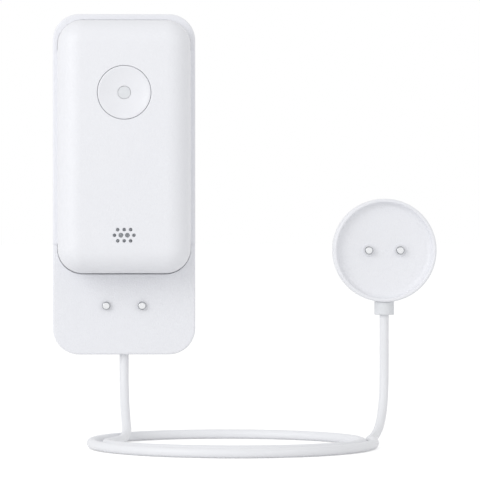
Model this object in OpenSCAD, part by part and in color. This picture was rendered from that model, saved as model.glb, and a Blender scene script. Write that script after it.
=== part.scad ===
// Water leak sensor: a battery module seated in a wall plate that has two drip contacts,
// and a round drip probe on a cord. The wall is the plane y = 0 and the front faces -Y.
// The origin is the centre of the wall plate's back, and all sizes are millimetres.

/* [Sensor module] */
// Width of the sensor module
module_w = 42.6; // [41:0.2:50]
// Height of the sensor module
module_h = 81; // [78:0.2:100]
// Radius of the roll-off round the module's front
front_roll = 7.5; // [5:0.1:9]
// Flat left inside each corner of the module's front
corner_land = 0.5; // [0.2:0.1:2]
// Wall of the front cover
shell_wall = 1.8; // [1.4:0.1:2.4]
// Wall of the rear case
case_wall = 1.6; // [1.3:0.1:2.4]
// Width of the flat seal between front cover and rear case
seal_w = 0.8; // [0.5:0.1:1.1]
// Thickness of the flat seals
seal_t = 0.6; // [0.4:0.1:1]

/* [Button and grille] */
// Diameter of the button's bore in the front cover
button_bore_d = 17.2; // [14:0.1:19]
// Distance from the module's top to the button's centre
button_inset = 23.4; // [22:0.1:28]
// Depth of the hollow in the button's face
button_dish = 1.1; // [0.4:0.1:1.2]
// How far the button is pressed in
button_travel = 0.5; // [0.3:0.1:0.7]
// Diameter of the light window in the button
window_d = 4; // [2:0.1:5]
// Distance from the module's bottom to the grille's centre
grille_inset = 12.2; // [11:0.1:16]
// Distance between neighbouring grille holes
grille_pitch = 2.05; // [1.8:0.05:2.4]
// Diameter of the grille's outer holes
grille_hole_d = 1.1; // [0.8:0.05:1.3]
// Diameter of the grille's two middle holes
grille_mid_d = 1.5; // [0.8:0.05:1.6]

/* [Wall plate] */
// Thickness of the wall plate
plate_t = 8; // [7.5:0.1:12]
// Border of the wall plate beside the module's pocket
border_w = 1.4; // [0.8:0.1:4]
// Border of the wall plate above the module's pocket
top_border_w = 1.8; // [0.8:0.1:4]
// Height of the apron below the module
apron_h = 25.9; // [22:0.1:40]
// Corner radius of the wall plate
plate_corner_r = 8.5; // [6:0.1:10]
// Rounding of the wall plate's front edge
plate_edge_r = 0.6; // [0.3:0.1:0.8]
// Depth of the pocket that takes the module
pocket_depth = 2; // [1:0.1:2.4]
// Gap beside the module in its pocket
side_gap = 0.3; // [0.2:0.1:1.5]
// Gap below the module in its pocket
low_gap = 0.6; // [0.3:0.1:1.5]
// Gap above the module in its pocket
top_gap = 0.7; // [0.3:0.1:1.5]
// Length of the side rails that grip the module
rail_l = 62.4; // [40:0.2:64]
// Height of the side rails above the border
rail_rise = 0.5; // [0.2:0.1:6]
// Distance between the two wall screws
wall_hole_spacing = 44; // [30:1:50]
// Diameter of the wall screw holes
wall_hole_d = 4.4; // [3.2:0.1:5]

/* [Drip contacts] */
// Distance between the two drip contacts of the wall plate
drip_spacing = 11.6; // [9:0.1:14]
// Distance from the wall plate's bottom to its drip contacts
drip_inset = 15.8; // [13:0.1:18]
// Diameter of a drip contact's head
pin_head_d = 2.6; // [2.2:0.1:3.2]
// Height of a drip contact's head
pin_head_h = 1.4; // [0.8:0.1:2]
// Diameter of a drip contact's shank
pin_shank_d = 1.8; // [1.4:0.1:2]

/* [Drip probe] */
// Diameter of the drip probe
probe_d = 33.5; // [30:0.1:45]
// Thickness of the drip probe
probe_t = 8.5; // [8:0.1:12]
// Width of the probe's round rim
rim_w = 1.2; // [0.8:0.1:2]
// Radius of the bowl's floor
bowl_floor_r = 110; // [80:1:300]
// Radius between the bowl's floor and its wall
bowl_fillet = 2; // [1:0.1:2.2]
// Distance between the probe's two drip contacts
probe_pin_spacing = 10.2; // [8:0.1:14]
// Diameter of the collar that holds the cord
collar_d = 6.4; // [5.6:0.1:7]
// Length of the collar below the probe
collar_l = 4.2; // [3:0.1:8]
// Place of the probe's centre, to the right of the wall plate's
probe_x = 84.5; // [70:0.5:120]
// Place of the probe's centre, below the wall plate's
probe_drop = 21.4; // [0:0.2:40]

/* [Cord] */
// Diameter of the cord
cord_d = 3; // [2:0.1:3.2]

/* [Inner pieces] */
// Diameter of the battery
battery_d = 15.6; // [14:0.1:17]
// Length of the battery
battery_l = 27; // [24:0.1:30]
// Distance from the module's centre down to the battery
battery_drop = 7.5; // [6:0.1:9]
// Thickness of the circuit board
board_t = 1.6; // [1:0.1:2]
// Diameter of the sounder
buzzer_d = 12.4; // [10:0.1:13]
// Height of the sounder
buzzer_h = 4; // [2.5:0.1:5]

/* [Hidden] */
$fn = 64;

// Colours
white_abs = [0.93, 0.935, 0.945];
inner_white = [0.88, 0.89, 0.9];
bright_metal = [0.78, 0.78, 0.77];
dark_rubber = [0.22, 0.22, 0.23];

// Clearances and overlaps
cut = 1;
slip = 0.2;
seat = 0.1;
screw_slip = 0.1;

// Wall plate, worked out from the module that it carries
module_corner_r = front_roll + corner_land;
plate_w = module_w + 2 * (side_gap + border_w);
plate_h = top_border_w + top_gap + module_h + low_gap + apron_h;
module_z = plate_h / 2 - top_border_w - top_gap - module_h / 2;
pocket_floor = plate_t - pocket_depth;
plate_bottom = -plate_h / 2;
rail_gap = 0.15;
rail_round = 0.5;

// Levels of the module, measured out from the wall
module_seat = 0.3;
case_recess = 0.2;
cell_gap = 0.35;
module_back = pocket_floor + module_seat;
case_back = module_back + case_recess;
case_front = case_back + case_wall;
ledge = case_front + seal_t;
cell_axis = case_front + cell_gap + battery_d / 2;
cover_inside = cell_axis + battery_d / 2 + cell_gap;
module_front = cover_inside + shell_wall;
module_t = module_front - module_back;
lip_wall = shell_wall - seal_w;

// Button
button_z = module_z + module_h / 2 - button_inset;
button_gap = 0.12;
button_r = button_bore_d / 2 - button_gap;
bore_lip = 0.25;
grille_lip = 0.15;
button_wall = 1.6;
button_recess = 0.05;
button_face = module_front - button_recess;
button_edge = 0.25;
dish_land = 0.6;
dish_r = button_r - dish_land;
dish_sphere_r = (pow(dish_r, 2) + pow(button_dish, 2)) / (2 * button_dish);
dish_bottom = button_face - button_dish;
cap_inside = dish_bottom - button_wall;
collar_wall = 1.5;
guide_l = 4.2;
guide_end = cover_inside - guide_l;
flange_t = 1;
flange_w = 0.8;
flange_gap = 0.3;
flange_top = guide_end - flange_gap;
flange_r = button_bore_d / 2 + flange_w;
ring_level = guide_end + guide_l / 2;
ring_groove_depth = 0.8;
ring_groove_r = button_r - ring_groove_depth;
ring_r = (button_bore_d / 2 - ring_groove_r - seat) / 2;
ring_groove_h = 2 * ring_r + 2 * seat;
ring_wall = 0.9;
button_hollow_r = ring_groove_r - ring_wall;
window_flange = 0.8;

// Circuit board and what stands on it
boss_shift = 1;
boss_inset = module_corner_r - boss_shift;
boss_r = 2.6;
boss_x = module_w / 2 - boss_inset;
boss_z = module_h / 2 - boss_inset;
board_gap = 0.8;
press_spare = 0.1;
press_gap = button_travel + press_spare;
switch_side = 4.5;
switch_h = 1.6;
switch_stem = 0.6;
switch_drop = 4.6;
stem_r = 1.1;
post_spare = 0.3;
post_r = stem_r + post_spare;
post_below_flange = 1.2;
post_end = flange_top - flange_t - post_below_flange;
board_front = post_end - press_gap - switch_stem - switch_h;
board_back = board_front - board_t;
led_h = 0.8;
window_back = board_front + led_h + press_gap;
board_w = module_w - 2 * (shell_wall + board_gap);
battery_z = module_z - battery_drop;
holder_wall = 1;
holder_gap = 0.3;
holder_half = battery_d / 2 + holder_gap + holder_wall;
board_top = module_z + boss_z - boss_r - board_gap;
board_bottom = battery_z + holder_half + board_gap;
board_h = board_top - board_bottom;
board_mid = (board_top + board_bottom) / 2;
board_corner_r = 2;
board_hole_inset = 3.2;
board_post_r = 2.3;

// Fasteners
small_screw_r = 1;
small_head_r = 1.8;
small_head_h = 1;
case_screw_l = 7;
board_screw_bite = 3;
screw_room = 1;
slot_w = 0.5;
pin_edge = 0.45;

// Battery contacts
contact_t = 0.4;
contact_w = 8;
spring_bow = 1.6;
nub_l = 1;
nub_r = 3.1;

// Sounder
grille_z = module_z - module_h / 2 + grille_inset;
buzzer_slip = 0.25;
buzzer_wall = 1;
mesh_t = 0.2;
mesh_seat = 0.1;
buzzer_front = cover_inside - mesh_t - 2 * mesh_seat;
buzzer_grip = 0.8 * buzzer_h;
buzzer_ring_end = buzzer_front - buzzer_grip;

// Contacts between plate and module
contact_inset = 6;
contact_z = module_z - module_h / 2 + contact_inset;
pad_r = 2;
spring_r = 1.6;
spring_tip_r = 0.9;
spring_gap = 0.15;

// Back of the wall plate
back_t = 1.2;
back_recess = 0.3;
back_level = back_recess + back_t;
back_side = 4.2;
back_rise = 3.5;
back_inset = 2.4;
back_half_w = drip_spacing / 2 + back_side;
back_top = contact_z + back_rise;
back_bottom = plate_bottom + back_inset;
rim_ledge = 1.4;
cavity_top = 4;
strip_t = 0.4;
strip_w = 3.2;
strip_level = cavity_top - seat - strip_t;
nut_r = 2;
nut_t = 0.8;
drip_z = plate_bottom + drip_inset;
back_screw_rise = 4.6;
back_screw_low = drip_z + back_screw_rise;
back_screw_high = contact_z;
back_boss_r = 2.3;

// Cord entry in the wall plate
cord_level = 4;
cord_slip = 0.15;
entry_wall = 2.6;
grommet_r = 2.3;
grommet_neck_r = 1.7;
grommet_l = 6;
grommet_flange = 2;
grommet_gap = 0.2;
grommet_top = plate_bottom + entry_wall + grommet_l;

// Probe
probe_z = -probe_drop;
probe_r = probe_d / 2;
rim_r = rim_w / 2;
bowl_r = probe_r - rim_w;
fillet_x = bowl_r - bowl_fillet;
fillet_y = probe_t - rim_r;
bowl_centre = fillet_y + sqrt(pow(bowl_floor_r - bowl_fillet, 2) - pow(fillet_x, 2));
tangent_x = fillet_x * bowl_floor_r / (bowl_floor_r - bowl_fillet);
function bowl_level(r) = bowl_centre - sqrt(pow(bowl_floor_r, 2) - pow(r, 2));
bowl_wall = 1.6;
probe_inside = bowl_level(0) - bowl_wall;
probe_back_t = 1.4;
probe_ledge = probe_back_t + seal_t;
probe_seal_w = 1.2;
probe_wall = 2.1;
probe_back_r = probe_r - probe_wall - slip;
probe_cavity_r = probe_back_r - probe_seal_w;
probe_pin_boss_r = 1.95;
probe_pin_boss_h = 0.5;
probe_pin_x = probe_pin_spacing / 2;
probe_pin_base = bowl_level(probe_pin_x) + probe_pin_boss_h;
probe_boss_r = 2.1;
probe_boss_ring = probe_cavity_r - probe_boss_r - slip;
probe_screw_room = 0.6;
collar_level = 4.2;
collar_neck_r = 1.9;
collar_neck_l = 1.7;
collar_neck_slip = 0.1;
cord_end_depth = 3;

// Route of the cord: down from the wall plate, a turn and a half on the surface below, up to the probe
surface_z = -82.5;
lay_z = surface_z + cord_d / 2;
plate_end = [0, -cord_level, plate_bottom + entry_wall];
probe_end = [probe_x, -collar_level, probe_z - probe_r - collar_l + cord_end_depth];
plate_run = [
    [0, -4, -52.4], [0, -4, -56], [0, -4, -60], [0, -4.6, -63.8], [0.1, -6.6, -67.4],
    [0.2, -9.5, -70.8], [0.4, -12.8, -73.7], [0.6, -16.6, -76.2], [0.8, -20.8, -78.3],
    [0.4, -25.6, lay_z + 1.1], [-0.7, -30.7, lay_z + 0.2], [-2.4, -36, lay_z],
    [-4.2, -41.5, lay_z], [-5.5, -47.3, lay_z], [-4.9, -53.9, lay_z]
];
loop_x = 33;
loop_y = -44.4;
loop_half_w = 39.6;
loop_half_d = 30.7;
loop_growth_w = 3.7;
loop_growth_d = 13;
loop_start = 30;
loop_step = 10;
loop_end = 550;
function loop_point(a) = [
    loop_x - (loop_half_w + loop_growth_w * a / 360) * cos(a),
    loop_y - (loop_half_d + loop_growth_d * a / 360) * sin(a),
    lay_z
];
probe_run = [
    [84.5, -4.2, -39.35], [84.5, -4.2, -46], [84.5, -4.2, -52], [84.5, -4.2, -58],
    [84.4, -5, -64], [84, -7.3, -69.5], [83.2, -10.9, -74.3], [82, -15.7, -77.9],
    [80.4, -21.2, lay_z + 0.8], [78.9, -27.2, lay_z]
];
// Carries a run's first two points to where its end belongs, and the next ones less and less
held_points = 2;
eased_points = 9;
function ease(i) = max(0, min(1, (eased_points - i) / (eased_points - held_points)));
function joined(run, end) = [for (i = [0:len(run) - 1]) run[i] + (end - run[0]) * ease(i)];
function backwards(v) = [for (i = [len(v) - 1:-1:0]) v[i]];
cord_route = concat(
    joined(plate_run, plate_end),
    [for (a = [loop_start:loop_step:loop_end]) loop_point(a)],
    backwards(joined(probe_run, probe_end))
);
cord_sides = 8;

// Length of a route, and its least gap to itself between points that lie far apart along it
far_points = 5;
function route_length(p) = sum_of([for (i = [1:len(p) - 1]) norm(p[i] - p[i - 1])]);
function sum_of(v, i = 0) = i == len(v) ? 0 : v[i] + sum_of(v, i + 1);
function halves(p) = [
    for (i = [0:2 * len(p) - 2]) i % 2 == 0 ? p[i / 2] : (p[(i - 1) / 2] + p[(i + 1) / 2]) / 2
];
function least_gap(p, d) = min([
    for (i = [0:len(p) - 1], j = [i + 2 * far_points:len(p) - 1]) norm(p[i] - p[j]) - d
]);
echo(cord_length = route_length(cord_route), cord_gap = least_gap(halves(cord_route), cord_d));

// Turns a piece drawn on the wall, with its height along z, to the upright wall
module on_wall() {
    rotate([90, 0, 0])
        children();
}

// Draws children on the wall at the probe's centre
module at_probe() {
    translate([probe_x, 0, probe_z])
        on_wall()
            children();
}

// Draws children at both signs of an offset to the side
module both_sides(x) {
    for (side = [-1, 1])
        translate([side * x, 0, 0])
            children();
}

module rounded_rect(w, h, r) {
    square([w - 2 * r, h], center = true);
    square([w, h - 2 * r], center = true);
    for (x = [-1, 1], y = [-1, 1])
        translate([x * (w / 2 - r), y * (h / 2 - r)])
            circle(r);
}

// Half section of an edge: a flat of length r - roll, then a quarter circle down
module roll_section(r, roll) {
    square([r - roll, roll]);
    translate([r - roll, 0])
        intersection() {
            circle(roll);
            square(roll);
        }
}

// A block with round corners whose front edge rolls off in a quarter circle
module soft_block(w, h, t, corner_r, roll) {
    linear_extrude(t - roll)
        rounded_rect(w, h, corner_r);
    translate([0, 0, t - roll]) {
        translate([corner_r - w / 2, corner_r - h / 2, 0])
            cube([w - 2 * corner_r, h - 2 * corner_r, roll]);
        for (side = [0, 1])
            mirror([side, 0, 0])
                translate([w / 2 - corner_r, 0, 0])
                    rotate([90, 0, 0])
                        linear_extrude(h - 2 * corner_r, center = true)
                            roll_section(corner_r, roll);
        for (side = [0, 1])
            mirror([0, side, 0])
                translate([0, h / 2 - corner_r, 0])
                    rotate([90, 0, 90])
                        linear_extrude(w - 2 * corner_r, center = true)
                            roll_section(corner_r, roll);
        for (x = [0, 1], y = [0, 1])
            mirror([x, 0, 0])
                mirror([0, y, 0])
                    translate([w / 2 - corner_r, h / 2 - corner_r, 0])
                        rotate_extrude(angle = 90)
                            roll_section(corner_r, roll);
    }
}

// A disc whose top edge is rounded
module soft_disc(r, h, edge) {
    rotate_extrude() {
        square([r - edge, h]);
        square([r, h - edge]);
        translate([r - edge, h - edge])
            circle(edge);
    }
}

// What is cut from the edge of a round hole to leave a rounded lip, with the face at z = 0
module lip_cut(r, lip) {
    rotate_extrude()
        difference() {
            translate([r - lip, -lip])
                square([2 * lip, lip + cut]);
            translate([r + lip, -lip])
                circle(lip);
        }
}

module ring(outer, inner, h) {
    difference() {
        cylinder(r = outer, h = h);
        translate([0, 0, -cut])
            cylinder(r = inner, h = h + 2 * cut);
    }
}

// A screw with its head's underside at z = 0, pointing up, with a slot across the head
module screw(shank_r, shank_l, head_r, head_h) {
    cylinder(r = shank_r, h = shank_l);
    difference() {
        translate([0, 0, -head_h])
            cylinder(r = head_r, h = head_h);
        translate([-head_r - cut, -slot_w / 2, -head_h - cut])
            cube([2 * (head_r + cut), slot_w, head_h / 2 + cut]);
    }
}

// A drip contact: a rounded head on a shank that runs down through the wall under it
module drip_pin(shank_l) {
    soft_disc(pin_head_d / 2, pin_head_h, pin_edge);
    translate([0, 0, -shank_l])
        cylinder(d = pin_shank_d, h = shank_l + seat);
}

// The grille: rows of three, four and three holes, the two in the middle a little larger
module grille_holes(h) {
    for (row = [-1, 0, 1])
        for (i = [0:3 - abs(row)]) {
            d = row == 0 && (i == 1 || i == 2) ? grille_mid_d : grille_hole_d;
            translate([(i - (3 - abs(row)) / 2) * grille_pitch, row * grille_pitch * sin(60), 0]) {
                translate([0, 0, -cut])
                    cylinder(d = d, h = h + 2 * cut);
                translate([0, 0, h - grille_lip])
                    cylinder(d1 = d, d2 = d + 4 * grille_lip, h = 2 * grille_lip);
            }
        }
}

module case_screw_places() {
    for (x = [-1, 1], z = [-1, 1])
        translate([x * boss_x, module_z + z * boss_z, 0])
            children();
}

module board_screw_places() {
    for (x = [-1, 1], z = [-1, 1])
        translate([x * (board_w / 2 - board_hole_inset), board_mid + z * (board_h / 2 - board_hole_inset), 0])
            children();
}

module probe_screw_places() {
    for (a = [90, 210, 330])
        rotate(a)
            translate([probe_boss_ring, 0, 0])
                children();
}

module wall_hole_places() {
    for (z = [-1, 1])
        translate([0, module_z + z * wall_hole_spacing / 2, 0])
            children();
}

// A side rail: a bar with a rounded outer edge
module side_rail() {
    rail_w = plate_w / 2 - module_w / 2 - rail_gap;
    rail_h = plate_t + rail_rise - pocket_floor;
    translate([module_w / 2 + rail_gap, module_z, pocket_floor])
        rotate([90, 0, 0])
            linear_extrude(rail_l, center = true) {
                square([rail_w - rail_round, rail_h]);
                square([rail_w, rail_h - rail_round]);
                translate([rail_w - rail_round, rail_h - rail_round])
                    circle(rail_round);
            }
}

// The room at the plate's back for the contact strips and the cord's end
module plate_hollow() {
    hollow_half = back_half_w - rim_ledge;
    translate([-back_half_w - slip, back_bottom - slip, -cut])
        cube([2 * (back_half_w + slip), back_top - back_bottom + 2 * slip, back_level + cut]);
    difference() {
        translate([-hollow_half, grommet_top, 0])
            cube([2 * hollow_half, back_top - rim_ledge - grommet_top, cavity_top]);
        for (z = [back_screw_low, back_screw_high])
            translate([0, z, 0])
                cylinder(r = back_boss_r, h = cavity_top + cut);
    }
    grommet_room();
}

// A round-roofed slot, open to the back, with a rib that stands in the grommet's neck
module grommet_room() {
    start = plate_bottom + entry_wall;
    difference() {
        union() {
            translate([-grommet_r - grommet_gap, start, 0])
                cube([2 * (grommet_r + grommet_gap), grommet_l + seat, cord_level]);
            translate([0, start, cord_level])
                rotate([-90, 0, 0])
                    cylinder(r = grommet_r + grommet_gap, h = grommet_l + seat);
        }
        difference() {
            translate([-grommet_r - cut, start + grommet_flange + grommet_gap, -cut])
                cube([2 * (grommet_r + cut), grommet_l - 2 * (grommet_flange + grommet_gap), plate_t]);
            translate([-grommet_neck_r - grommet_gap, start, -cut])
                cube([2 * (grommet_neck_r + grommet_gap), grommet_l, cord_level + cut]);
            translate([0, start, cord_level])
                rotate([-90, 0, 0])
                    cylinder(r = grommet_neck_r + grommet_gap, h = grommet_l);
        }
    }
}

module wall_plate() {
    color(white_abs)
        on_wall()
            difference() {
                union() {
                    difference() {
                        soft_block(plate_w, plate_h, plate_t, plate_corner_r, plate_edge_r);
                        translate([0, module_z + (top_gap - low_gap) / 2, pocket_floor])
                            linear_extrude(pocket_depth + cut)
                                rounded_rect(
                                    module_w + 2 * side_gap,
                                    module_h + top_gap + low_gap,
                                    module_corner_r + side_gap
                                );
                    }
                    side_rail();
                    mirror([1, 0, 0])
                        side_rail();
                }
                plate_hollow();
                wall_hole_places() {
                    translate([0, 0, -cut])
                        cylinder(d = wall_hole_d, h = plate_t);
                    translate([0, 0, pocket_floor - wall_hole_d / 2])
                        cylinder(r1 = wall_hole_d / 2, r2 = wall_hole_d, h = wall_hole_d / 2);
                }
                both_sides(drip_spacing / 2)
                    translate([0, drip_z, 0])
                        cylinder(r = pin_shank_d / 2 + screw_slip, h = plate_t + cut);
                both_sides(drip_spacing / 2)
                    translate([0, contact_z, 0])
                        cylinder(r = spring_r + seat, h = plate_t);
                translate([0, plate_bottom - cut, cord_level])
                    rotate([-90, 0, 0])
                        cylinder(r = cord_d / 2 + cord_slip, h = entry_wall + 2 * cut);
                for (z = [back_screw_low, back_screw_high])
                    translate([0, z, 0])
                        cylinder(r = small_screw_r + screw_slip, h = cavity_top + screw_room);
            }
}

module plate_back() {
    color(inner_white)
        on_wall()
            difference() {
                translate([-back_half_w, back_bottom, back_recess])
                    cube([2 * back_half_w, back_top - back_bottom, back_t]);
                for (z = [back_screw_low, back_screw_high])
                    translate([0, z, 0]) {
                        cylinder(r = small_screw_r + screw_slip, h = plate_t);
                        cylinder(r = small_head_r + screw_slip, h = back_recess + small_head_h / 2 + seat);
                    }
            }
}

module plate_screws() {
    color(bright_metal)
        on_wall()
            for (z = [back_screw_low, back_screw_high])
                translate([0, z, back_recess + small_head_h / 2])
                    screw(small_screw_r, cavity_top, small_head_r, small_head_h / 2);
}

module drip_pins() {
    color(bright_metal)
        on_wall()
            both_sides(drip_spacing / 2)
                translate([0, drip_z, plate_t])
                    drip_pin(plate_t - strip_level + nut_t + 2 * seat);
}

module pin_nuts() {
    color(bright_metal)
        on_wall()
            both_sides(drip_spacing / 2)
                translate([0, drip_z, strip_level - seat - nut_t])
                    ring(nut_r, pin_shank_d / 2 + screw_slip, nut_t);
}

module contact_strips() {
    strip_low = drip_z - strip_w;
    strip_high = contact_z + strip_w / 2;
    color("goldenrod")
        on_wall()
            both_sides(drip_spacing / 2)
                translate([0, 0, strip_level])
                    linear_extrude(strip_t)
                        difference() {
                            translate([-strip_w / 2, strip_low])
                                square([strip_w, strip_high - strip_low]);
                            translate([0, drip_z])
                                circle(pin_shank_d / 2 + screw_slip);
                            translate([0, contact_z])
                                circle(spring_tip_r + screw_slip);
                        }
}

module spring_contacts() {
    barrel_base = strip_level + strip_t + seat;
    tip = case_back - spring_gap;
    tip_edge = 0.2;
    color("gold")
        on_wall()
            both_sides(drip_spacing / 2)
                translate([0, contact_z, 0]) {
                    translate([0, 0, barrel_base])
                        cylinder(r = spring_r, h = pocket_floor - barrel_base);
                    translate([0, 0, pocket_floor - seat])
                        soft_disc(spring_tip_r, tip - pocket_floor + seat, tip_edge);
                    translate([0, 0, strip_level - nut_t])
                        cylinder(r = spring_tip_r, h = nut_t + strip_t + 2 * seat);
                }
}

module cord_grommet() {
    color(dark_rubber)
        on_wall()
            translate([0, plate_bottom + entry_wall, cord_level])
                rotate([-90, 0, 0]) {
                    cylinder(r = grommet_r, h = grommet_flange);
                    cylinder(r = grommet_neck_r, h = grommet_l);
                    translate([0, 0, grommet_l - grommet_flange])
                        cylinder(r = grommet_r, h = grommet_flange);
                }
}

// Two short wires from the grommet to the ends of the contact strips
module lead_wires() {
    lead_r = 0.45;
    lead_x = 0.8;
    lead_level = strip_level - lead_r - seat;
    reach_x = drip_spacing / 2 - lead_x;
    reach_z = drip_z - nut_r - grommet_top - 2 * lead_r;
    color("firebrick")
        on_wall()
            for (side = [0, 1])
                mirror([side, 0, 0])
                    translate([lead_x, grommet_top + lead_r, lead_level])
                        rotate([0, 0, -atan2(reach_x, reach_z)])
                            rotate([-90, 0, 0])
                                cylinder(r = lead_r, h = norm([reach_x, reach_z]));
}

function unit(v) = v / norm(v);
function headings(p) = [
    for (i = [0:len(p) - 1]) unit(p[min(i + 1, len(p) - 1)] - p[max(i - 1, 0)])
];
function square_to(n, t) = unit(n - t * (n * t));
function sideways(t, n, i = 0, done = []) =
    i == len(t) ? done : let (m = square_to(n, t[i])) sideways(t, m, i + 1, concat(done, [m]));
function tube_rings(p, r, sides) = let (t = headings(p), n = sideways(t, [1, 0, 0])) [
    for (i = [0:len(p) - 1], k = [0:sides - 1])
        p[i] + r * (cos(360 * k / sides) * n[i] + sin(360 * k / sides) * cross(t[i], n[i]))
];
function tube_faces(rings, sides) = [
    for (i = [0:rings - 2], k = [0:sides - 1])
        let (a = i * sides + k, b = i * sides + (k + 1) % sides)
            each [[a, a + sides, b], [b, a + sides, b + sides]],
    for (k = [1:sides - 2]) [0, k, k + 1],
    for (k = [1:sides - 2]) let (last = (rings - 1) * sides) [last, last + k + 1, last + k]
];

module cord() {
    color(white_abs)
        polyhedron(
            points = tube_rings(cord_route, cord_d / 2, cord_sides),
            faces = tube_faces(len(cord_route), cord_sides)
        );
}

// Half section of the room above the bowl: its round floor, the fillet, and the round rim
module bowl_section() {
    above = 2 * probe_t;
    intersection() {
        translate([0, bowl_centre])
            circle(bowl_floor_r, $fn = 720);
        square([tangent_x, fillet_y]);
    }
    intersection() {
        translate([fillet_x, fillet_y])
            circle(bowl_fillet);
        square([bowl_r, fillet_y]);
    }
    difference() {
        translate([0, fillet_y])
            square([bowl_r + rim_r, above]);
        translate([bowl_r + rim_r, fillet_y])
            circle(rim_r);
    }
}

module probe_shell() {
    socket_low = probe_r - collar_neck_l - collar_neck_slip;
    color(white_abs)
        at_probe()
            difference() {
                union() {
                    difference() {
                        soft_disc(probe_r, probe_t, rim_r);
                        rotate_extrude()
                            bowl_section();
                        translate([0, 0, -cut])
                            cylinder(r = probe_back_r + slip, h = probe_ledge + cut);
                        cylinder(r = probe_cavity_r, h = probe_inside);
                    }
                    both_sides(probe_pin_x)
                        translate([0, 0, probe_inside])
                            cylinder(r = probe_pin_boss_r, h = probe_pin_base - probe_inside);
                    probe_screw_places()
                        translate([0, 0, probe_back_t + seat])
                            cylinder(r = probe_boss_r, h = probe_inside - probe_back_t);
                }
                both_sides(probe_pin_x)
                    cylinder(r = pin_shank_d / 2 + screw_slip, h = probe_t);
                probe_screw_places()
                    cylinder(r = small_screw_r + screw_slip, h = probe_inside + probe_screw_room);
                translate([0, -socket_low, collar_level])
                    rotate([90, 0, 0])
                        cylinder(r = collar_neck_r + collar_neck_slip, h = probe_r);
            }
}

module probe_back() {
    color(white_abs)
        at_probe()
            difference() {
                cylinder(r = probe_back_r, h = probe_back_t);
                probe_screw_places() {
                    translate([0, 0, -cut])
                        cylinder(r = small_screw_r + screw_slip, h = probe_t);
                    translate([0, 0, -cut])
                        cylinder(r = small_head_r + screw_slip, h = cut + small_head_h / 2 + 2 * seat);
                }
            }
}

module probe_seal() {
    color(dark_rubber)
        at_probe()
            translate([0, 0, probe_back_t])
                ring(probe_back_r, probe_cavity_r + seat, seal_t);
}

module probe_screws() {
    color(bright_metal)
        at_probe()
            probe_screw_places()
                translate([0, 0, small_head_h / 2 + 2 * seat])
                    screw(small_screw_r, probe_inside - small_head_h / 2, small_head_r, small_head_h / 2);
}

module probe_pins() {
    color(bright_metal)
        at_probe()
            both_sides(probe_pin_x)
                translate([0, 0, probe_pin_base])
                    drip_pin(probe_pin_base - probe_inside + nut_t + 2 * seat);
}

module probe_nuts() {
    color(bright_metal)
        at_probe()
            both_sides(probe_pin_x)
                translate([0, 0, probe_inside - seat - nut_t])
                    ring(nut_r, pin_shank_d / 2 + screw_slip, nut_t);
}

module probe_collar() {
    edge = 0.3;
    // Depth at which the collar's own round end clears the probe's round side
    bite = probe_r - sqrt(pow(probe_r, 2) - pow(collar_d / 2, 2));
    color(white_abs)
        at_probe()
            difference() {
                translate([0, 0, collar_level])
                    rotate([90, 0, 0])
                        difference() {
                            union() {
                                translate([0, 0, probe_r - collar_neck_l])
                                    cylinder(r = collar_neck_r, h = collar_neck_l + seat);
                                translate([0, 0, probe_r - bite])
                                    soft_disc(collar_d / 2, collar_l + bite, edge);
                            }
                            translate([0, 0, probe_r + collar_l - cord_end_depth])
                                cylinder(r = cord_d / 2 + cord_slip, h = cord_end_depth + cut);
                        }
                difference() {
                    cylinder(r = probe_r + seat, h = probe_t);
                    translate([0, 0, collar_level])
                        rotate([90, 0, 0])
                            cylinder(r = collar_neck_r, h = 2 * probe_r);
                }
            }
}

module front_cover() {
    color(white_abs)
        on_wall()
            difference() {
                union() {
                    difference() {
                        translate([0, module_z, module_back])
                            soft_block(module_w, module_h, module_t, module_corner_r, front_roll);
                        translate([0, module_z, module_back - cut])
                            soft_block(
                                module_w - 2 * shell_wall,
                                module_h - 2 * shell_wall,
                                module_t - shell_wall + cut,
                                module_corner_r - shell_wall,
                                front_roll - shell_wall
                            );
                        translate([0, module_z, module_back - cut])
                            linear_extrude(ledge - module_back + cut)
                                rounded_rect(
                                    module_w - 2 * lip_wall,
                                    module_h - 2 * lip_wall,
                                    module_corner_r - lip_wall
                                );
                    }
                    translate([0, button_z, guide_end])
                        cylinder(r = button_bore_d / 2 + collar_wall, h = guide_l + shell_wall / 2);
                    translate([0, grille_z, buzzer_ring_end])
                        cylinder(
                            r = buzzer_d / 2 + buzzer_slip + buzzer_wall,
                            h = cover_inside - buzzer_ring_end + shell_wall / 2
                        );
                    case_screw_places()
                        translate([0, 0, case_front + seat])
                            cylinder(r = boss_r, h = cover_inside + shell_wall / 3 - case_front - seat);
                }
                translate([0, button_z, guide_end - cut])
                    cylinder(d = button_bore_d, h = module_t);
                translate([0, grille_z, buzzer_ring_end - cut])
                    cylinder(r = buzzer_d / 2 + buzzer_slip, h = cover_inside - buzzer_ring_end + cut);
                translate([0, button_z, module_front])
                    lip_cut(button_bore_d / 2, bore_lip);
                translate([0, grille_z, cover_inside])
                    grille_holes(shell_wall);
                case_screw_places()
                    cylinder(r = small_screw_r + screw_slip, h = case_front + case_screw_l + screw_room);
            }
}

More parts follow.
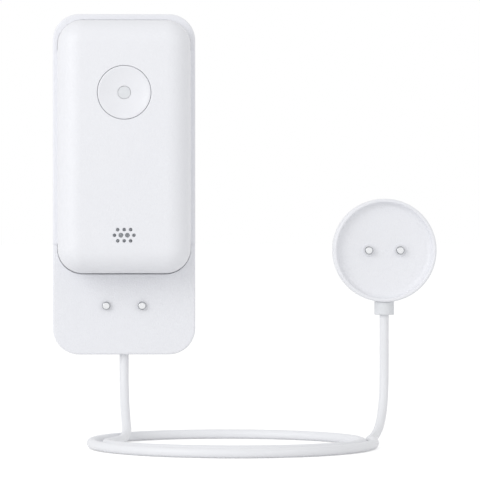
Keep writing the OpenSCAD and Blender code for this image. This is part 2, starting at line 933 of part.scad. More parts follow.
module rear_case() {
    fit_r = module_corner_r - lip_wall - slip;
    color(inner_white)
        on_wall()
            difference() {
                union() {
                    translate([0, module_z, case_back])
                        linear_extrude(case_wall)
                            rounded_rect(
                                module_w - 2 * (lip_wall + slip),
                                module_h - 2 * (lip_wall + slip),
                                fit_r
                            );
                    board_screw_places()
                        translate([0, 0, case_back])
                            cylinder(r = board_post_r, h = board_back - case_back);
                }
                board_screw_places()
                    translate([0, 0, case_front])
                        cylinder(r = small_screw_r + screw_slip, h = board_back);
                case_screw_places() {
                    cylinder(r = small_screw_r + screw_slip, h = case_front + cut);
                    cylinder(r = small_head_r + screw_slip, h = case_back + small_head_h);
                }
                both_sides(drip_spacing / 2)
                    translate([0, contact_z, 0])
                        cylinder(r = pad_r + seat, h = case_front + cut);
            }
}

module case_seal() {
    color(dark_rubber)
        on_wall()
            translate([0, module_z, case_front])
                linear_extrude(seal_t)
                    difference() {
                        rounded_rect(
                            module_w - 2 * (lip_wall + slip),
                            module_h - 2 * (lip_wall + slip),
                            module_corner_r - lip_wall - slip
                        );
                        rounded_rect(
                            module_w - 2 * (shell_wall + seat),
                            module_h - 2 * (shell_wall + seat),
                            module_corner_r - shell_wall - seat
                        );
                    }
}

module case_screws() {
    color(bright_metal)
        on_wall()
            case_screw_places()
                translate([0, 0, case_back + small_head_h])
                    screw(small_screw_r, case_screw_l, small_head_r, small_head_h);
}

module contact_pads() {
    color("gold")
        on_wall()
            both_sides(drip_spacing / 2)
                translate([0, contact_z, case_back])
                    cylinder(r = pad_r, h = case_wall);
}

module circuit_board() {
    color("darkgreen")
        on_wall()
            difference() {
                translate([0, board_mid, board_back])
                    linear_extrude(board_t)
                        rounded_rect(board_w, board_h, board_corner_r);
                board_screw_places()
                    cylinder(r = small_screw_r + screw_slip, h = board_front + cut);
            }
}

module board_screws() {
    color(bright_metal)
        on_wall()
            board_screw_places()
                translate([0, 0, board_front])
                    mirror([0, 0, 1])
                        screw(small_screw_r, board_t + board_screw_bite, small_head_r, small_head_h);
}

module tactile_switch() {
    color("dimgray")
        on_wall()
            translate([0, button_z - switch_drop, board_front]) {
                translate([-switch_side / 2, -switch_side / 2, 0])
                    cube([switch_side, switch_side, switch_h]);
                cylinder(r = stem_r, h = switch_h + switch_stem);
            }
}

module status_led() {
    led_w = 1.6;
    color("ivory")
        on_wall()
            translate([-led_w / 2, button_z - led_w / 2, board_front])
                cube([led_w, led_w, led_h]);
}

module radio_module() {
    can_w = 11;
    can_l = 8;
    can_h = 2.2;
    can_gap = 0.6;
    can_inset = 1;
    can_x = board_w / 2 - board_hole_inset - small_head_r - can_w - can_gap;
    color(bright_metal)
        on_wall()
            translate([-can_x - can_w, board_top - can_l - can_inset, board_front])
                soft_block_at_corner(can_w, can_l, can_h);
}

module control_chip() {
    chip_w = 6;
    chip_h = 1;
    chip_inset = 2;
    color("black")
        on_wall()
            translate([boss_x - chip_w - chip_inset, board_top - chip_w - chip_inset, board_front])
                cube([chip_w, chip_w, chip_h]);
}

// A pressed can that stands with one corner at the origin
module soft_block_at_corner(w, l, h) {
    can_corner = 1;
    can_edge = 0.4;
    translate([w / 2, l / 2, 0])
        soft_block(w, l, h, can_corner, can_edge);
}

module battery() {
    cell_edge = 0.6;
    color("slategray")
        on_wall()
            translate([-battery_l / 2, battery_z, cell_axis])
                rotate([0, 90, 0]) {
                    soft_disc(battery_d / 2, battery_l - nub_l, cell_edge);
                    cylinder(r = nub_r, h = battery_l);
                }
}

// A saddle with two end walls, open below the battery
module battery_holder() {
    half_l = battery_l / 2 + spring_bow + contact_t + holder_gap + holder_wall;
    saddle_drop = 1;
    saddle_h = battery_d / 2 - saddle_drop;
    end_h = battery_d * 0.8;
    base = case_front + seat;
    color("black")
        on_wall()
            difference() {
                translate([-half_l, battery_z - holder_half, base])
                    cube([2 * half_l, 2 * holder_half, end_h]);
                translate([holder_wall - half_l, battery_z - holder_half - cut, base + saddle_h])
                    cube([2 * (half_l - holder_wall), 2 * (holder_half + cut), end_h]);
                translate([holder_wall - half_l, battery_z, cell_axis])
                    rotate([0, 90, 0])
                        cylinder(r = battery_d / 2 + holder_gap, h = 2 * (half_l - holder_wall));
                translate([holder_wall - half_l, battery_z - battery_d / 4, base - cut])
                    cube([2 * (half_l - holder_wall), battery_d / 2, saddle_h]);
            }
}

// A flat plate at one end of the battery, and a bowed leaf on a plate at the other
module battery_contacts() {
    plate_x = battery_l / 2 + seat;
    leaf_x = battery_l / 2 + spring_bow;
    bow_r = (pow(contact_w / 2, 2) + pow(spring_bow - seat, 2)) / (2 * (spring_bow - seat));
    color(bright_metal)
        on_wall() {
            translate([plate_x, battery_z - contact_w / 2, cell_axis - contact_w / 2])
                cube([contact_t, contact_w, contact_w]);
            translate([-leaf_x - contact_t, battery_z - contact_w / 2, cell_axis - contact_w / 2])
                cube([contact_t, contact_w, contact_w]);
            translate([-leaf_x, battery_z, cell_axis - contact_w / 4])
                linear_extrude(contact_w / 2)
                    intersection() {
                        difference() {
                            translate([spring_bow - seat - bow_r, 0])
                                circle(bow_r);
                            translate([spring_bow - seat - bow_r - contact_t, 0])
                                circle(bow_r);
                        }
                        translate([-contact_t, -contact_w / 2])
                            square([spring_bow + contact_t, contact_w]);
                    }
        }
}

module buzzer() {
    edge = 0.4;
    port_r = 1;
    port_depth = 0.6;
    color("black")
        on_wall()
            translate([0, grille_z, buzzer_front - buzzer_h])
                difference() {
                    soft_disc(buzzer_d / 2, buzzer_h, edge);
                    translate([0, 0, buzzer_h - port_depth])
                        cylinder(r = port_r, h = cut);
                }
}

module speaker_mesh() {
    color("gray")
        on_wall()
            translate([0, grille_z, cover_inside - mesh_seat - mesh_t])
                cylinder(r = buzzer_d / 2, h = mesh_t);
}

// A hollow cap with a dished face, a flange that keeps it in, and a post that meets the switch
module button() {
    color(white_abs)
        on_wall()
            translate([0, button_z, 0]) {
                difference() {
                    translate([0, 0, flange_top - flange_t]) {
                        soft_disc(button_r, button_face - flange_top + flange_t, button_edge);
                        cylinder(r = flange_r, h = flange_t);
                    }
                    translate([0, 0, flange_top - flange_t - cut])
                        cylinder(r = button_hollow_r, h = cap_inside - flange_top + flange_t + cut);
                    translate([0, 0, dish_bottom + dish_sphere_r])
                        sphere(dish_sphere_r, $fn = 200);
                    translate([0, 0, ring_level - ring_groove_h / 2])
                        ring(button_r + cut, ring_groove_r, ring_groove_h);
                    cylinder(r = window_d / 2 + seat, h = module_front);
                }
                translate([0, -switch_drop, post_end])
                    cylinder(r = post_r, h = cap_inside + seat - post_end);
            }
}

// An O-ring in the button's groove, just short of the bore
module button_seal() {
    color(dark_rubber)
        on_wall()
            translate([0, button_z, ring_level])
                rotate_extrude()
                    translate([ring_groove_r + seat / 2 + ring_r, 0])
                        circle(ring_r, $fn = 24);
}

// A light pipe from the lamp on the board to the middle of the button's face
module light_window() {
    color("lightgray")
        on_wall()
            translate([0, button_z, window_back]) {
                cylinder(d = window_d, h = dish_bottom - window_back);
                translate([0, 0, cap_inside - seat - window_flange - window_back])
                    cylinder(r = window_d / 2 + window_flange, h = window_flange);
            }
}

wall_plate();
plate_back();
plate_screws();
drip_pins();
pin_nuts();
contact_strips();
spring_contacts();
cord_grommet();
lead_wires();
cord();
probe_shell();
probe_back();
probe_seal();
probe_screws();
probe_pins();
probe_nuts();
probe_collar();
front_cover();
rear_case();
case_seal();
case_screws();
contact_pads();
circuit_board();
board_screws();
tactile_switch();
status_led();
radio_module();
control_chip();
battery();
battery_holder();
battery_contacts();
buzzer();
speaker_mesh();
button();
button_seal();
light_window();
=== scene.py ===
"""Looks of a water leak sensor: a white module in a wall plate, and a drip probe on a cord.

Metres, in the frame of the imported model: the wall is y = 0, the front faces -Y, and Z is up.
"""

import bpy
import numpy as np
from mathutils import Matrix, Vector


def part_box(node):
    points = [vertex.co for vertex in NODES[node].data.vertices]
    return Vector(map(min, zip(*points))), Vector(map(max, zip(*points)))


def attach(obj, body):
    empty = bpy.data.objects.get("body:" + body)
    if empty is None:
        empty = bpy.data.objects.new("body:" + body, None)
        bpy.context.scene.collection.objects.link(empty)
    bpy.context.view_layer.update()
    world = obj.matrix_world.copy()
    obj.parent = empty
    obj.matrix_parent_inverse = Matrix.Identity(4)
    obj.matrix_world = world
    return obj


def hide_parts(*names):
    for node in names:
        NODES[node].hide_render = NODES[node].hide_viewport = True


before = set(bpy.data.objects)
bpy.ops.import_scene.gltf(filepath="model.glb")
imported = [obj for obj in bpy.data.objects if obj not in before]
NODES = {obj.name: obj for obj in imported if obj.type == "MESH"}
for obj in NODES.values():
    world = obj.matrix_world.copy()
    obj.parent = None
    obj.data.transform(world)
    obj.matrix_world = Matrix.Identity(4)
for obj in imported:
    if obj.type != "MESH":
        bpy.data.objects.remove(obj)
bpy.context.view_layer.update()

MM = 0.001


# Camera

CAMERA_PLACE = Vector((-2.5, -1107, -8)) * MM
CAMERA_AIM = Vector((37.5, -7, -18)) * MM
FOCAL_LENGTH_MM = 255
SENSOR_MM = 36
CLIP_NEAR = 0.01
CLIP_FAR = 50


def add_facing(name, data, place, aim):
    """A camera or a lamp at a place, upright and turned towards its aim."""
    thing = bpy.data.objects.new(name, data)
    thing.location = place
    thing.rotation_euler = (aim - place).to_track_quat("-Z", "Y").to_euler()
    bpy.context.scene.collection.objects.link(thing)
    return thing


def set_camera():
    """A long lens far in front of the wall, level with the middle of the object."""
    data = bpy.data.cameras.new("camera")
    data.lens = FOCAL_LENGTH_MM
    data.sensor_width = SENSOR_MM
    data.clip_start = CLIP_NEAR
    data.clip_end = CLIP_FAR
    bpy.context.scene.camera = add_facing("camera", data, CAMERA_PLACE, CAMERA_AIM)


set_camera()


# Cord, with the points of its route in millimetres

CORD_D_MM = 3
CORD_D = CORD_D_MM * MM
CORD_SIDES = 20
STEPS_PER_SPAN = 5
NEVER_ALONG_CORD = (-1, 0.3, 1)
SURFACE_Z = -82.5
LAY_Z = SURFACE_Z + CORD_D_MM / 2
PLATE_RUN = [
    (0, -4, -52.4), (0, -4, -56), (0, -4, -60), (0, -4.6, -63.8), (0.1, -6.6, -67.4),
    (0.2, -9.5, -70.8), (0.4, -12.8, -73.7), (0.6, -16.6, -76.2), (0.8, -20.8, -78.3),
    (0.4, -25.6, LAY_Z + 1.1), (-0.7, -30.7, LAY_Z + 0.2), (-2.4, -36, LAY_Z),
    (-4.2, -41.5, LAY_Z), (-5.5, -47.3, LAY_Z), (-4.9, -53.9, LAY_Z),
]
PROBE_RUN = [
    (78.9, -27.2, LAY_Z), (80.4, -21.2, LAY_Z + 0.8), (82, -15.7, -77.9), (83.2, -10.9, -74.3),
    (84, -7.3, -69.5), (84.4, -5, -64), (84.5, -4.2, -58), (84.5, -4.2, -52), (84.5, -4.2, -46),
    (84.5, -4.2, -39.35),
]
LOOP_CENTRE = (33, -44.4)
LOOP_HALF = (39.6, 30.7)
LOOP_GROWTH = (3.7, 13)
LOOP_DEGREES = np.arange(30, 551, 10)


def cord_route():
    """Down from the wall plate, a turn and a half round a growing ellipse, and up to the probe.

    At each angle the ellipse's point is its centre less the cosine and sine, times half widths that grow
    evenly by LOOP_GROWTH in every full turn.
    """
    turn = np.radians(LOOP_DEGREES)
    grown = LOOP_DEGREES / 360
    loop = np.stack([
        LOOP_CENTRE[0] - (LOOP_HALF[0] + LOOP_GROWTH[0] * grown) * np.cos(turn),
        LOOP_CENTRE[1] - (LOOP_HALF[1] + LOOP_GROWTH[1] * grown) * np.sin(turn),
        np.full(turn.size, LAY_Z),
    ], axis=1)
    return np.concatenate([PLATE_RUN, loop, PROBE_RUN]) * MM


def smooth_line(points, steps):
    """A cubic from each point to the next, with slopes from their neighbours, in steps pieces to a span.

    The slopes weigh each span by the square root of its length, so that short spans don't overshoot.
    """
    padded = np.concatenate([[2 * points[0] - points[1]], points, [2 * points[-1] - points[-2]]])
    p0, p1, p2, p3 = padded[:-3], padded[1:-2], padded[2:-1], padded[3:]
    knot = np.sqrt(np.linalg.norm(np.diff(padded, axis=0), axis=1))[:, None]
    d0, d1, d2 = knot[:-2], knot[1:-1], knot[2:]
    m1 = d1 * ((p1 - p0) / d0 - (p2 - p0) / (d0 + d1) + (p2 - p1) / d1)
    m2 = d1 * ((p2 - p1) / d1 - (p3 - p1) / (d1 + d2) + (p3 - p2) / d2)
    t = (np.arange(steps) / steps)[None, :, None]
    p1, p2, m1, m2 = (a[:, None, :] for a in (p1, p2, m1, m2))
    line = (
        (2 * t**3 - 3 * t**2 + 1) * p1 + (t**3 - 2 * t**2 + t) * m1
        + (3 * t**2 - 2 * t**3) * p2 + (t**3 - t**2) * m2
    )
    return np.concatenate([line.reshape(-1, 3), points[-1:]])


def unit(v):
    """Vectors scaled to a length of 1."""
    return v / np.linalg.norm(v, axis=-1, keepdims=True)


def tube(line, radius, sides, never_along):
    """Rings square to a line, joined by quads and closed with a point at each end.

    A ring's point is the line's point plus the radius times (cosine of the turn times side, plus sine of the
    turn times up), where side and up are square to the way ahead; never_along is a direction that the line
    doesn't take. uv holds the length along the line and the share of a turn round it.
    """
    ahead = unit(np.gradient(line, axis=0))
    side = unit(np.cross(ahead, never_along))
    up = np.cross(ahead, side)
    turn = np.linspace(0, 2 * np.pi, sides, endpoint=False)
    ring = np.cos(turn)[None, :, None] * side[:, None] + np.sin(turn)[None, :, None] * up[:, None]
    points = (line[:, None] + radius * ring).reshape(-1, 3)
    length = np.concatenate([[0], np.cumsum(np.linalg.norm(np.diff(line, axis=0), axis=1))])
    uv = np.stack(np.meshgrid(length, turn / (2 * np.pi), indexing="ij"), axis=-1).reshape(-1, 2)

    start = np.arange(len(line) - 1)[:, None] * sides
    j = np.arange(sides)
    k = (j + 1) % sides
    corners = np.broadcast_arrays(start + sides + j, start + sides + k, start + k, start + j)
    quads = np.stack(corners, axis=-1).reshape(-1, 4)
    first_tip = len(points)
    last_tip = first_tip + 1
    last_ring = first_tip - sides
    first_cap = np.stack([k, j, np.full(sides, first_tip)], axis=1)
    last_cap = np.stack([np.full(sides, last_tip), last_ring + j, last_ring + k], axis=1)

    points = np.concatenate([points, line[:1], line[-1:]])
    uv = np.concatenate([uv, [[0, 0], [length[-1], 0]]])
    return points, [*quads.tolist(), *first_cap.tolist(), *last_cap.tolist()], uv, length[-1]


def new_piece(name, points, faces, uv, body, node):
    """A smooth mesh at the origin that rides on a body in a node's place; uv holds one pair per point."""
    mesh = bpy.data.meshes.new(name)
    mesh.from_pydata(points.tolist(), [], faces)
    mesh.shade_smooth()
    corner_point = np.empty(len(mesh.loops), np.int64)
    mesh.loops.foreach_get("vertex_index", corner_point)
    layer = mesh.uv_layers.new(name="along")
    layer.data.foreach_set("uv", uv[corner_point].astype(np.float32).ravel())
    piece = bpy.data.objects.new(name, mesh)
    bpy.context.scene.collection.objects.link(piece)
    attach(piece, body)
    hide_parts(node)
    return piece


CORD_LINE = smooth_line(cord_route(), STEPS_PER_SPAN)
cord_points, cord_faces, cord_uv, CORD_LENGTH = tube(CORD_LINE, CORD_D / 2, CORD_SIDES, NEVER_ALONG_CORD)
cord = new_piece("cord_jacket", cord_points, cord_faces, cord_uv, "wall_unit", "cord")


# Materials; the colour sockets of a Mix node share their names with others, so they are counted

SHARE, FIRST, SECOND = 0, 6, 7
COLOURS = {"output": 2, "data_type": "RGBA"}


def linear(hex_colour):
    """sRGB hex to linear RGBA."""
    srgb = np.array([int(hex_colour[i:i + 2], 16) for i in (0, 2, 4)]) / 255
    rgb = np.where(srgb <= 0.04045, srgb / 12.92, ((srgb + 0.055) / 1.055) ** 2.4)
    return (*rgb.tolist(), 1.0)


def add(tree, kind, sockets=None, output=0, **settings):
    """Adds a node, sets its settings, sets or links its input sockets, and gives one of its outputs."""
    node = tree.nodes.new("ShaderNode" + kind)
    for name, value in settings.items():
        setattr(node, name, value)
    for name, value in (sockets or {}).items():
        if isinstance(value, bpy.types.NodeSocket):
            tree.links.new(value, node.inputs[name])
        else:
            node.inputs[name].default_value = value
    return node.outputs[output] if node.outputs else None


def new_material(name):
    """A material with no nodes yet, and its tree."""
    material = bpy.data.materials.new(name)
    material.use_nodes = True
    material.node_tree.nodes.clear()
    return material, material.node_tree


def finish_material(tree, **sockets):
    """Ends a material in one principled shader; an underscore stands for a space in a socket's name."""
    named = {name.replace("_", " "): value for name, value in sockets.items()}
    add(tree, "OutputMaterial", {"Surface": add(tree, "BsdfPrincipled", named)})


def per_metre(size_mm):
    """Texture scale whose features are about this many millimetres across."""
    return 1 / (size_mm * MM)


def middle(node):
    """Middle of a node's box."""
    low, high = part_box(node)
    return [(a + b) / 2 for a, b in zip(low, high)]


def moulded_plastic(name, colour, shade, rough, grain_mm, pit_mm, flow_mm=30, spread=0.06):
    """Injection moulding: a slow drift of tone where the melt flowed, and the tool's spark-eroded grain.

    The real grain is about 0.1 mm across and a hundredth deep; it is drawn coarser and deeper to show at all.
    The roughness varies by spread to either side.
    """
    material, tree = new_material(name)
    place = add(tree, "TexCoord", output="Object")
    flow = add(tree, "TexNoise", {"Vector": place, "Scale": per_metre(flow_mm), "Detail": 2.0})
    tone = add(tree, "Mix", {SHARE: flow, FIRST: linear(colour), SECOND: linear(shade)}, **COLOURS)
    grain = add(tree, "TexNoise", {"Vector": place, "Scale": per_metre(grain_mm), "Detail": 3.0})
    gloss = add(tree, "MapRange", {"Value": grain, "To Min": rough - spread, "To Max": rough + spread})
    pits = add(tree, "Bump", {"Height": grain, "Distance": pit_mm * MM, "Strength": 0.5})
    finish_material(tree, Base_Color=tone, Roughness=gloss, IOR=1.53, Normal=pits)
    return material


def cast_silicone(name, colour, shade, bloom_mm=2):
    """Pressed silicone: a soft dull face with faint paler bloom in blots about 2 mm across."""
    material, tree = new_material(name)
    place = add(tree, "TexCoord", output="Object")
    bloom = add(tree, "TexNoise", {"Vector": place, "Scale": per_metre(bloom_mm), "Detail": 4.0})
    tone = add(tree, "Mix", {SHARE: bloom, FIRST: linear(colour), SECOND: linear(shade)}, **COLOURS)
    gloss = add(tree, "MapRange", {"Value": bloom, "To Min": 0.5, "To Max": 0.7})
    finish_material(tree, Base_Color=tone, Roughness=gloss, IOR=1.41)
    return material


def extruded_jacket(name, colour, shade, drift_mm=60, lines_round=24, line_depth_mm=0.1):
    """Soft PVC drawn through a die: faint lines along the cord, and a slow drift of tone every 60 mm.

    The die's lines are about 0.05 mm apart; twenty-four are drawn round the cord, deeper too, to show at all.
    """
    material, tree = new_material(name)
    place = add(tree, "TexCoord", output="Object")
    along = add(tree, "UVMap", uv_map="along")
    drawn = add(tree, "Mapping", {"Vector": along, "Scale": (per_metre(drift_mm), lines_round, 1)})
    lines = add(tree, "TexNoise", {"Vector": drawn, "Scale": 1.0, "Detail": 2.0})
    drift = add(tree, "TexNoise", {"Vector": place, "Scale": per_metre(drift_mm)})
    tone = add(tree, "Mix", {SHARE: drift, FIRST: linear(colour), SECOND: linear(shade)}, **COLOURS)
    gloss = add(tree, "MapRange", {"Value": lines, "To Min": 0.42, "To Max": 0.54})
    draw_marks = add(tree, "Bump", {"Height": lines, "Distance": line_depth_mm * MM, "Strength": 0.4})
    finish_material(tree, Base_Color=tone, Roughness=gloss, IOR=1.54, Normal=draw_marks)
    return material


def plated_metal(name, colour, shade, rough, cloud_mm=1.5, spread=0.08):
    """Electroplate: a bright coat, clouded in patches about 1.5 mm across where the bath ran uneven."""
    material, tree = new_material(name)
    place = add(tree, "TexCoord", output="Object")
    cloud = add(tree, "TexNoise", {"Vector": place, "Scale": per_metre(cloud_mm), "Detail": 3.0})
    tone = add(tree, "Mix", {SHARE: cloud, FIRST: linear(colour), SECOND: linear(shade)}, **COLOURS)
    gloss = add(tree, "MapRange", {"Value": cloud, "To Min": rough - spread, "To Max": rough + spread})
    finish_material(tree, Base_Color=tone, Roughness=gloss, Metallic=1.0)
    return material


def rolled_metal(name, colour, shade, rough, scratch_mm=(0.15, 0.15, 6), depth_mm=0.01, spread=0.1):
    """Rolled strip: fine scratches along the roll, which runs upwards, each drawn 0.15 mm wide to show."""
    material, tree = new_material(name)
    place = add(tree, "TexCoord", output="Object")
    roll = add(tree, "Mapping", {"Vector": place, "Scale": [per_metre(size) for size in scratch_mm]})
    scratch = add(tree, "TexNoise", {"Vector": roll, "Scale": 1.0, "Detail": 3.0})
    tone = add(tree, "Mix", {SHARE: scratch, FIRST: linear(colour), SECOND: linear(shade)}, **COLOURS)
    gloss = add(tree, "MapRange", {"Value": scratch, "To Min": rough - spread, "To Max": rough + spread})
    marks = add(tree, "Bump", {"Height": scratch, "Distance": depth_mm * MM, "Strength": 0.3})
    finish_material(tree, Base_Color=tone, Roughness=gloss, Metallic=1.0, Normal=marks)
    return material


def turned_steel(name, node, stud_d_mm, ring_mm=0.25, ring_depth_mm=0.004, stain_mm=0.8, edge=(0.32, 0.48)):
    """Stainless steel off a lathe: rings round each of a pair of studs, which stand side by side along x.

    With x and z from the middle of the pair and h half the pitch, a ring is where (|x| - h)^2 + z^2 is the
    same. The cap is bright and the flank is painted darker, as painted shade and painted dark reflection on
    the studs' rounded edges; edge gives where the one runs into the other, as shares of the diameter. The
    tool's feed is about 0.08 mm; the rings are drawn 0.25 mm apart so that they show.
    """
    low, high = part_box(node)
    stud_d = stud_d_mm * MM
    half_pitch = (high[0] - low[0] - stud_d) / 2
    material, tree = new_material(name)
    place = add(tree, "TexCoord", output="Object")
    from_middle = add(tree, "VectorMath", {0: place, 1: middle(node)}, operation="SUBTRACT")
    folded = add(tree, "VectorMath", {0: from_middle}, operation="ABSOLUTE")
    from_axis = add(tree, "VectorMath", {0: folded, 1: (half_pitch, 0, 0)}, operation="SUBTRACT")
    across = add(tree, "VectorMath", {0: from_axis, 1: (1, 0, 1)}, operation="MULTIPLY")
    radius = add(tree, "VectorMath", {0: across}, "Value", operation="LENGTH")
    turns = add(tree, "Math", {0: radius, 1: 2 * np.pi * per_metre(ring_mm)}, operation="MULTIPLY")
    rings = add(tree, "Math", {0: turns}, operation="SINE")
    stain = add(tree, "TexNoise", {"Vector": place, "Scale": per_metre(stain_mm), "Detail": 2.0})
    cap = add(tree, "Mix", {SHARE: stain, FIRST: linear("E9EAEC"), SECOND: linear("DCDDDF")}, **COLOURS)
    inner, outer = (share * stud_d for share in edge)
    # painted shade: the flank of each stud is painted darker than its cap, standing in for shade and dark
    # reflection on its rounded edge
    painted_flank_shade = add(tree, "MapRange", {"Value": radius, "From Min": inner, "From Max": outer})
    tone = add(tree, "Mix", {SHARE: painted_flank_shade, FIRST: cap, SECOND: linear("97999C")}, **COLOURS)
    gloss = add(tree, "MapRange", {"Value": rings, "From Min": -1.0, "To Min": 0.24, "To Max": 0.34})
    marks = add(tree, "Bump", {"Height": rings, "Distance": ring_depth_mm * MM, "Strength": 0.4})
    finish_material(tree, Base_Color=tone, Roughness=gloss, Metallic=1.0, Normal=marks)
    return material


def diffusing_acrylic(name, filler_mm=1, reach_mm=0.5):
    """Opal acrylic: smooth, with light passing a little way in, and a cloud of white filler 1 mm across."""
    material, tree = new_material(name)
    place = add(tree, "TexCoord", output="Object")
    filler = add(tree, "TexNoise", {"Vector": place, "Scale": per_metre(filler_mm), "Detail": 3.0})
    tone = add(tree, "Mix", {SHARE: filler, FIRST: linear("E9EBEE"), SECOND: linear("E0E3E7")}, **COLOURS)
    gloss = add(tree, "MapRange", {"Value": filler, "To Min": 0.18, "To Max": 0.26})
    finish_material(
        tree, Base_Color=tone, Roughness=gloss, IOR=1.49, Subsurface_Weight=0.3, Subsurface_Radius=(1, 1, 1),
        Subsurface_Scale=reach_mm * MM,
    )
    return material


def solder_masked_board(name, cell_mm=10, fibre_mm=0.6, step_mm=0.035):
    """Glass-fibre board under green lacquer: copper tracks 0.3 mm wide show as paler lines with a low step.

    The tracks run where a brick wall has its mortar; the wall's sizes are shares of a cell.
    """
    material, tree = new_material(name)
    place = add(tree, "TexCoord", output="Object")
    flat = add(tree, "Mapping", {"Vector": place, "Rotation": (np.pi / 2, 0, 0)})
    wall = {"Scale": per_metre(cell_mm), "Mortar Size": 0.015, "Brick Width": 0.6, "Row Height": 0.13}
    stagger = {"offset": 0.37, "squash": 1.6, "squash_frequency": 3}
    tracks = add(tree, "TexBrick", {"Vector": flat, **wall}, "Fac", **stagger)
    weave = add(tree, "TexNoise", {"Vector": place, "Scale": per_metre(fibre_mm), "Detail": 2.0})
    lacquer = add(tree, "Mix", {SHARE: weave, FIRST: linear("1F6A43"), SECOND: linear("1A5A39")}, **COLOURS)
    tone = add(tree, "Mix", {SHARE: tracks, FIRST: lacquer, SECOND: linear("3C8C5C")}, **COLOURS)
    step = add(tree, "Bump", {"Height": tracks, "Distance": step_mm * MM, "Strength": 0.6})
    gloss = add(tree, "MapRange", {"Value": weave, "To Min": 0.28, "To Max": 0.4})
    finish_material(tree, Base_Color=tone, Roughness=gloss, IOR=1.55, Normal=step)
    return material


def woven_mesh(name, thread_mm=0.35, rise_mm=0.05, painted_shade_below=0.6):
    """Square-woven steel cloth: two sets of threads that cross, with the openings and low parts painted
    darker as shade.

    A thread's height is the size of a sine across it, and the higher of the two threads shows. The real cloth
    has 0.1 mm threads; they are drawn coarser so that they show.
    """
    material, tree = new_material(name)
    place = add(tree, "TexCoord", output="Object")
    axes = add(tree, "SeparateXYZ", {0: place}).node.outputs
    threads = []
    for axis in ("X", "Z"):
        phase = add(tree, "Math", {0: axes[axis], 1: np.pi * per_metre(thread_mm)}, operation="MULTIPLY")
        wave = add(tree, "Math", {0: phase}, operation="SINE")
        threads.append(add(tree, "Math", {0: wave}, operation="ABSOLUTE"))
    height = add(tree, "Math", {0: threads[0], 1: threads[1]}, operation="MAXIMUM")
    # painted shade: the low parts of the threads and the openings between them are painted darker where shade
    # would fall
    painted_shade_by_height = add(tree, "MapRange", {"Value": height, "From Min": painted_shade_below})
    tone = add(tree, "Mix", {SHARE: painted_shade_by_height, FIRST: linear("8E9194"), SECOND: linear("E0E3E6")}, **COLOURS)
    rise = add(tree, "Bump", {"Height": height, "Distance": rise_mm * MM})
    finish_material(tree, Base_Color=tone, Roughness=0.45, Metallic=0.6, Normal=rise)
    return material


def sleeved_cell(name, node, sleeve_mm=25, crease_mm=3, crease_depth_mm=0.05):
    """A cell along x: a shrunk film sleeve round its middle, and bare nickel-plated steel at both ends."""
    material, tree = new_material(name)
    place = add(tree, "TexCoord", output="Object")
    from_middle = add(tree, "VectorMath", {0: place, 1: middle(node)}, operation="SUBTRACT")
    along = add(tree, "SeparateXYZ", {0: from_middle}, "X")
    out = add(tree, "Math", {0: along}, operation="ABSOLUTE")
    bare = add(tree, "Math", {0: out, 1: sleeve_mm / 2 * MM}, operation="GREATER_THAN")
    shrink = add(tree, "TexNoise", {"Vector": place, "Scale": per_metre(crease_mm), "Detail": 3.0})
    film = add(tree, "Mix", {SHARE: shrink, FIRST: linear("3F4C5C"), SECOND: linear("36424F")}, **COLOURS)
    tone = add(tree, "Mix", {SHARE: bare, FIRST: film, SECOND: linear("C9CBCE")}, **COLOURS)
    creases = add(tree, "Bump", {"Height": shrink, "Distance": crease_depth_mm * MM, "Strength": 0.5})
    finish_material(tree, Base_Color=tone, Metallic=bare, Roughness=0.35, Normal=creases)
    return material


def two_wires(name, node, mottle_mm=1):
    """PVC insulation: the wire on one side of the middle is red and the other black, both faintly mottled."""
    material, tree = new_material(name)
    place = add(tree, "TexCoord", output="Object")
    from_middle = add(tree, "VectorMath", {0: place, 1: middle(node)}, operation="SUBTRACT")
    across = add(tree, "SeparateXYZ", {0: from_middle}, "X")
    side = add(tree, "Math", {0: across, 1: 0.0}, operation="GREATER_THAN")
    mottle = add(tree, "TexNoise", {"Vector": place, "Scale": per_metre(mottle_mm), "Detail": 2.0})
    red = add(tree, "Mix", {SHARE: mottle, FIRST: linear("B3261E"), SECOND: linear("A01F19")}, **COLOURS)
    black = add(tree, "Mix", {SHARE: mottle, FIRST: linear("26272A"), SECOND: linear("1D1E20")}, **COLOURS)
    tone = add(tree, "Mix", {SHARE: side, FIRST: red, SECOND: black}, **COLOURS)
    gloss = add(tree, "MapRange", {"Value": mottle, "To Min": 0.35, "To Max": 0.5})
    finish_material(tree, Base_Color=tone, Roughness=gloss, IOR=1.54)
    return material


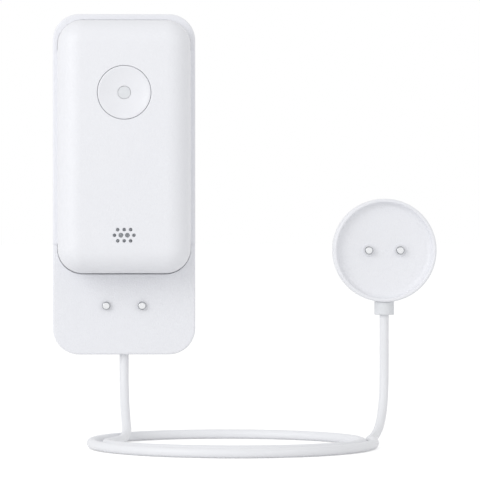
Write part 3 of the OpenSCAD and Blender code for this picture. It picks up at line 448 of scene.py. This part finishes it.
STUD_D_MM = 2.6
FINISHES = [
    (moulded_plastic("moulded_abs_satin_white", "F0F1F5", "EEEFF4", rough=0.42, grain_mm=0.5, pit_mm=0.2),
     ["front_cover", "wall_plate", "probe_shell"]),
    # The collar's grey is partly the elastomer's own tone and partly painted shade, darker to stand for the
    # shadow of the probe above it
    (moulded_plastic(
        "moulded_elastomer_grey_and_painted_shade", "E6E8EB", "E2E4E8", rough=0.55, grain_mm=0.6, pit_mm=0.15),
     ["probe_collar"]),
    (moulded_plastic("moulded_abs_smooth_white", "EFF0F4", "EDEEF3", rough=0.34, grain_mm=0.8, pit_mm=0.05),
     ["button"]),
    (moulded_plastic("moulded_abs_matt_white", "E8E9EB", "E4E5E8", rough=0.58, grain_mm=0.6, pit_mm=0.25),
     ["plate_back", "probe_back", "rear_case"]),
    (moulded_plastic("moulded_nylon_black", "2A2B2D", "232426", rough=0.5, grain_mm=0.6, pit_mm=0.1),
     ["battery_holder", "tactile_switch", "buzzer"]),
    (moulded_plastic("moulded_epoxy_black", "1E1F21", "252628", rough=0.62, grain_mm=0.3, pit_mm=0.04),
     ["control_chip"]),
    (moulded_plastic("cast_epoxy_milky", "F0EEDF", "E8E6D6", rough=0.2, grain_mm=0.8, pit_mm=0.004),
     ["status_led"]),
    (cast_silicone("pressed_silicone_grey", "5E6164", "6C6F72"), ["case_seal", "probe_seal", "button_seal"]),
    (cast_silicone("pressed_silicone_white", "E2E3E5", "D8D9DB"), ["cord_grommet"]),
    (turned_steel("turned_steel_plate_studs", "drip_pins", STUD_D_MM), ["drip_pins"]),
    (turned_steel("turned_steel_probe_studs", "probe_pins", STUD_D_MM), ["probe_pins"]),
    (plated_metal("zinc_plated_steel", "C6CACF", "B4B9BF", rough=0.34),
     ["plate_screws", "pin_nuts", "probe_screws", "probe_nuts", "case_screws", "board_screws"]),
    (plated_metal("gold_plated_brass", "E2C073", "D2AC5C", rough=0.26), ["spring_contacts", "contact_pads"]),
    (plated_metal("tinned_steel", "C9CBCD", "BDBFC2", rough=0.38), ["radio_module"]),
    (rolled_metal("rolled_brass", "CDAA60", "B8944C", rough=0.34), ["contact_strips"]),
    (rolled_metal("rolled_nickel_steel", "C4C5C6", "AFB0B2", rough=0.32), ["battery_contacts"]),
    (diffusing_acrylic("diffusing_acrylic_opal"), ["light_window"]),
    (solder_masked_board("solder_masked_glass_fibre"), ["circuit_board"]),
    (woven_mesh("woven_steel_mesh"), ["speaker_mesh"]),
    (sleeved_cell("film_sleeved_cell", "battery"), ["battery"]),
    (two_wires("pvc_insulated_wires", "lead_wires"), ["lead_wires"]),
]
for material, names in FINISHES:
    for name in names:
        NODES[name].data.materials.clear()
        NODES[name].data.materials.append(material)
cord.data.materials.append(extruded_jacket("extruded_pvc_white", "F0F1F4", "EDEEF2"))


# Floor, surroundings and lamps

FLOOR_GAP_MM = 0.1
FLOOR_HALF = 6.0
FLOOR_GLOW = 0.4
SURROUNDINGS_LEVEL = 0.7
SEEN_LEVEL = 1.0
WHITE = (1, 1, 1, 1)
LAMP_SIZE = 1.0
LAMP_AIM = Vector((0.02, 0, 0))
KEY_PLACE, KEY_POWER = Vector((-0.92, -0.92, 0.46)), 6.2
FILL_PLACE, FILL_POWER = Vector((0.94, -0.92, 0.46)), 1.3


def seen_ray(tree):
    """1 for a ray from the eye, or one that a mirror or glass sends on, and 0 for lighting."""
    ray = add(tree, "LightPath").node.outputs
    sent_on = add(tree, "Math", {0: ray["Is Glossy Ray"], 1: ray["Is Transmission Ray"]}, operation="MAXIMUM")
    return add(tree, "Math", {0: ray["Is Camera Ray"], 1: sent_on}, operation="MAXIMUM")


def shadow_floor():
    """A pale square floor that the eye sees as white where nothing shades it, and that keeps soft shadows."""
    z = (SURFACE_Z - FLOOR_GAP_MM) * MM
    corners = [(x * FLOOR_HALF, y * FLOOR_HALF, z) for x, y in ((-1, -1), (1, -1), (1, 1), (-1, 1))]
    mesh = bpy.data.meshes.new("floor")
    mesh.from_pydata(corners, [], [(0, 1, 2, 3)])
    floor = bpy.data.objects.new("floor", mesh)
    bpy.context.scene.collection.objects.link(floor)
    material, tree = new_material("white_paper_sweep")
    strength = add(tree, "Math", {0: seen_ray(tree), 1: FLOOR_GLOW}, operation="MULTIPLY")
    paper = add(tree, "BsdfDiffuse", {"Color": linear("F3F3F3")})
    glow = add(tree, "Emission", {"Strength": strength})
    add(tree, "OutputMaterial", {"Surface": add(tree, "AddShader", {0: paper, 1: glow})})
    mesh.materials.append(material)


def surroundings():
    """Even light from all round; what the eye and mirrors see of it is white."""
    world = bpy.data.worlds.new("studio")
    world.use_nodes = True
    tree = world.node_tree
    tree.nodes.clear()
    levels = {"To Min": SURROUNDINGS_LEVEL, "To Max": SEEN_LEVEL}
    strength = add(tree, "MapRange", {"Value": seen_ray(tree), **levels})
    light = add(tree, "Background", {"Color": WHITE, "Strength": strength})
    add(tree, "OutputWorld", {"Surface": light})
    bpy.context.scene.world = world


def soft_box(name, place, power):
    """A large round lamp that faces the object."""
    data = bpy.data.lights.new(name, "AREA")
    data.shape = "DISK"
    data.size = LAMP_SIZE
    data.energy = power
    add_facing(name, data, place, LAMP_AIM)


shadow_floor()
surroundings()
soft_box("key", KEY_PLACE, KEY_POWER)
soft_box("fill", FILL_PLACE, FILL_POWER)
bpy.context.scene.view_settings.view_transform = "Standard"
